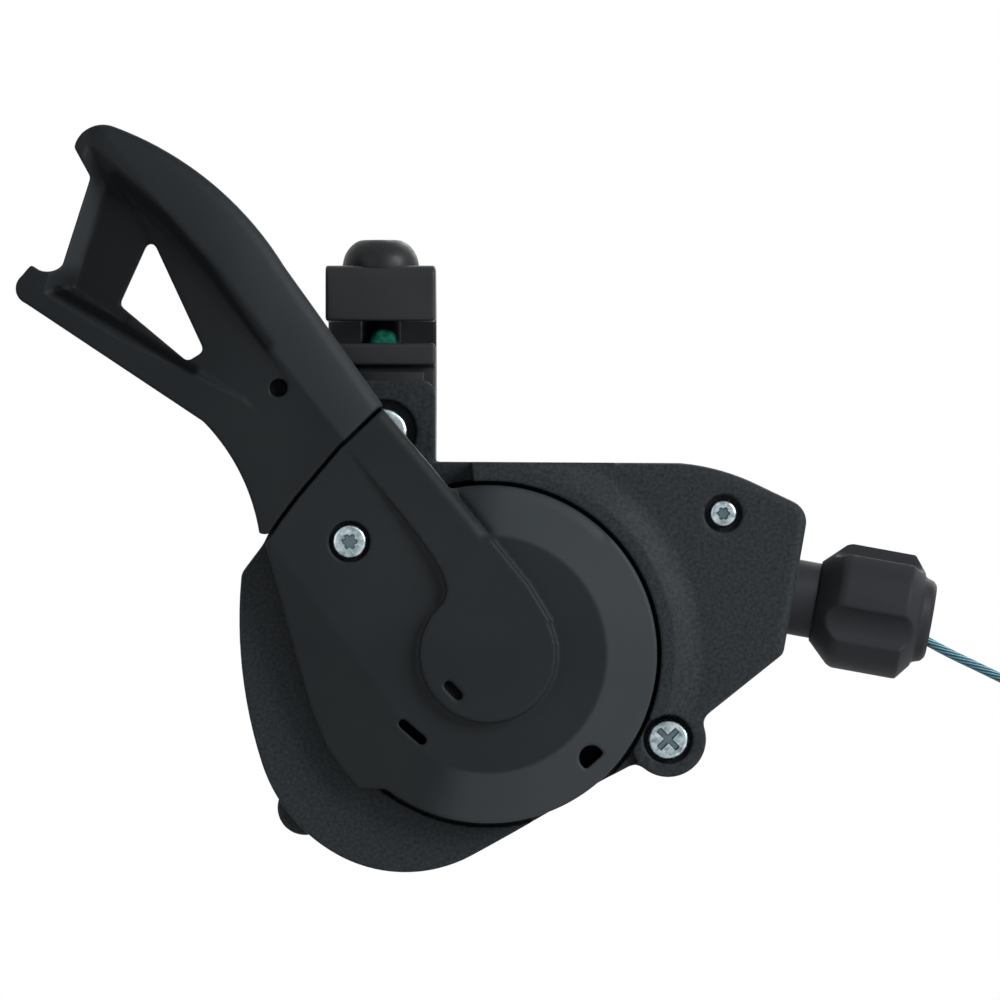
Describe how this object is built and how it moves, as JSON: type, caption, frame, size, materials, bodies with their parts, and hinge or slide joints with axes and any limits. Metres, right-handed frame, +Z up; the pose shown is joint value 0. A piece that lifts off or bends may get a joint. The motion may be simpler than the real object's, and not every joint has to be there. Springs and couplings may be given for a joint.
{
  "type": "trigger gear shifter",
  "caption": "Bicycle trigger gear shifter with a thumb lever that swings both ways, a handlebar clamp, a barrel adjuster and a coiled free inner cable.",
  "frame": {"origin": "centre of the handlebar clamp's bore", "axes": "+X along the bar towards the cable adjuster, +Z up the face of the shifter, -Y towards the lever side"},
  "size_m": [0.1774, 0.048, 0.1418],
  "materials": {
    "case_plastic": "finely textured",
    "lever_plastic": "smooth moulded",
    "knob_plastic": "smooth moulded",
    "drum_plastic": "moulded",
    "black_aluminium": "black anodised",
    "black_steel": "black oxide",
    "zinc_steel": "bright zinc",
    "steel": "plain",
    "spring_steel": "bright drawn",
    "bush_brass": "turned",
    "cable_steel": "stranded",
    "tie_plastic": "smooth"
  },
  "bodies": {
    "housing": {"clamp_band": "black_aluminium", "clamp_bolt": "black_steel", "bracket_screw": "zinc_steel", "base_plate": "black_steel", "top_cover": "case_plastic", "bottom_cover": "case_plastic", "cover_screw_small": "zinc_steel", "cover_screw_large": "zinc_steel", "rear_screw": "zinc_steel", "main_axle": "steel", "axle_washer": "zinc_steel", "axle_nut": "zinc_steel", "cable_run": "cable_steel", "holding_pawl_pin": "steel", "holding_pawl_spring": "spring_steel", "drum_return_spring": "spring_steel", "lever_return_spring": "spring_steel", "adjuster_seat": "knob_plastic"},
    "lever": {"lever_arm": "lever_plastic", "lever_cap": "lever_plastic", "lever_plate": "black_steel", "lever_bush": "bush_brass", "lever_rivet_upper": "steel", "lever_rivet_lower": "steel", "lever_cap_screw": "zinc_steel", "winding_pawl_pin": "steel", "winding_pawl_spring": "spring_steel"},
    "drum": {"winding_drum": "drum_plastic", "cable_head": "steel", "cable_wrap": "cable_steel"},
    "winding_pawl": {"winding_pawl": "steel"},
    "holding_pawl": {"holding_pawl": "steel"},
    "adjuster_slide": {"detent_ring": "knob_plastic", "cable_tail": "cable_steel", "cable_coil": "cable_steel", "coil_tie": "tie_plastic"},
    "adjuster": {"adjuster_knob": "knob_plastic", "adjuster_bolt": "steel"}
  },
  "joints": [
    {"name": "lever_swing", "type": "hinge", "parent": "housing", "child": "lever", "pos_m": [0.0135, 0, -0.0346], "axis": [0, -1, 0], "range_deg": [-8, 35], "stiffness_Nm_per_rad": 1},
    {"name": "drum_turn", "type": "hinge", "parent": "housing", "child": "drum", "pos_m": [0.0135, 0, -0.0346], "axis": [0, -1, 0], "range_deg": [0, 35], "stiffness_Nm_per_rad": 0.3, "springref_deg": -28.65},
    {"name": "winding_pawl_swing", "type": "hinge", "parent": "lever", "child": "winding_pawl", "pos_m": [0.0215, 0, -0.02074], "axis": [0, -1, 0], "range_deg": [0, 10], "stiffness_Nm_per_rad": 0.02, "springref_deg": -11.46},
    {"name": "holding_pawl_swing", "type": "hinge", "parent": "housing", "child": "holding_pawl", "pos_m": [-0.00154, 0, -0.04007], "axis": [0, 1, 0], "range_deg": [0, 8], "stiffness_Nm_per_rad": 0.02, "springref_deg": -17.19},
    {"name": "adjuster_advance", "type": "slide", "parent": "housing", "child": "adjuster_slide", "axis": [0.9839, 0, -0.1788], "range_m": [0, 0.003]},
    {"name": "adjuster_turn", "type": "hinge", "parent": "adjuster_slide", "child": "adjuster", "pos_m": [0.0514, -0.019, -0.02745], "axis": [0.9839, 0, -0.1788], "range_deg": [0, 1080]}
  ],
  "couplings": [
    {"joint": "adjuster_turn", "follows": "adjuster_advance", "rad_per_m": 6283}
  ]
}
